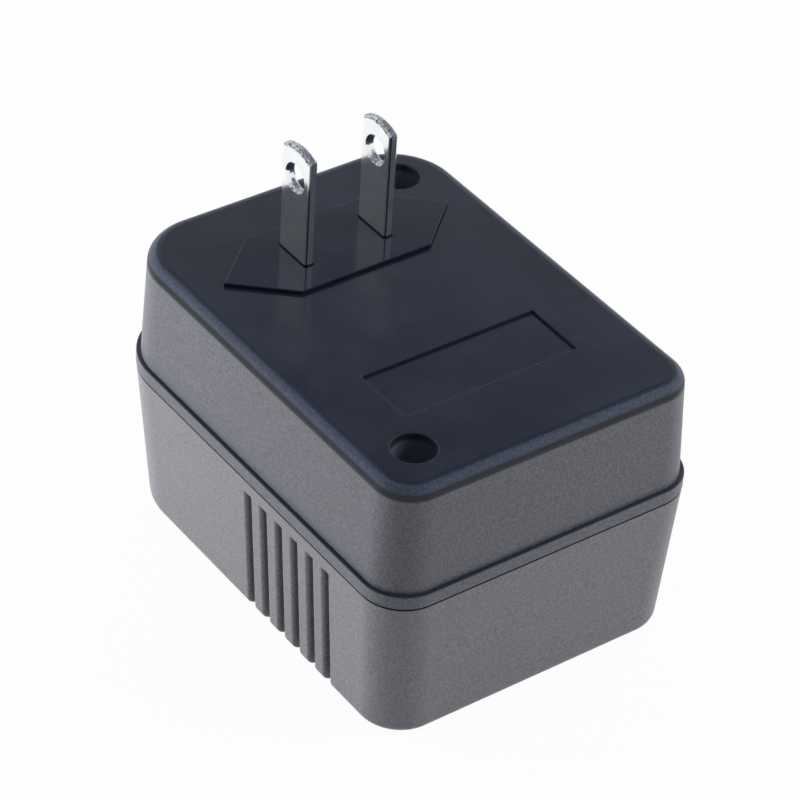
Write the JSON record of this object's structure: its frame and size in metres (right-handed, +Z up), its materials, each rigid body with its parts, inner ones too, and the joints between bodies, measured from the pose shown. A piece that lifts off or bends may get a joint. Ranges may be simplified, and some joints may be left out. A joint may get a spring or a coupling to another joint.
{
  "type": "travel voltage converter",
  "caption": "Black moulded plug-in voltage converter: a two-blade plug on one face, an outlet for round or flat pins on the other, air slots in both long sides.",
  "frame": {"origin": "middle of the resting face, which is the outlet face, under the middle of the housing", "axes": "+X along the housing, away from the end that has the blades; +Y across it, along the line from blade to blade; +Z up, out of the plug-side face, along the blades"},
  "size_m": [0.067, 0.05, 0.0583],
  "materials": {
    "housing_plastic": "fine spark-eroded texture on the walls, smoother semi-gloss cover face",
    "pad_plastic": "smooth gloss",
    "outlet_plastic": "smooth semi-gloss",
    "blade_plating": "bright nickel plate",
    "inner_plastic": "natural moulded",
    "screw_steel": "zinc plated",
    "contact_bronze": "bare phosphor bronze",
    "core_steel": "varnished silicon steel",
    "bobbin_nylon": "natural nylon",
    "pin_tin": "tinned",
    "winding_copper": "enamelled copper wire",
    "tape_yellow": "polyester tape",
    "fuse_can": "drawn can",
    "sleeve_black": "heat-resistant sleeving",
    "pad_foam": "closed-cell foam",
    "input_insulation": "soft vinyl insulation",
    "output_insulation": "soft vinyl insulation"
  },
  "bodies": {
    "root": {"plug_side_cover": "housing_plastic", "socket_side_base": "housing_plastic", "plug_insert": "pad_plastic", "outlet_insert": "outlet_plastic", "plug_blade_left": "blade_plating", "plug_blade_right": "blade_plating", "blade_retainer": "inner_plastic", "contact_cover": "inner_plastic", "retainer_screws": "screw_steel", "housing_screws": "screw_steel", "spring_contact_left": "contact_bronze", "spring_contact_right": "contact_bronze", "core_e_sheets": "core_steel", "core_i_sheets": "core_steel", "coil_bobbin": "bobbin_nylon", "terminal_pins": "pin_tin", "primary_winding": "winding_copper", "secondary_winding": "winding_copper", "primary_tape": "tape_yellow", "secondary_tape": "tape_yellow", "thermal_fuse": "fuse_can", "fuse_sleeve": "sleeve_black", "core_pad_lower": "pad_foam", "core_pad_upper": "pad_foam", "input_lead_left": "input_insulation", "input_lead_right": "input_insulation", "output_lead_left": "output_insulation", "output_lead_right": "output_insulation"}
  },
  "joints": []
}
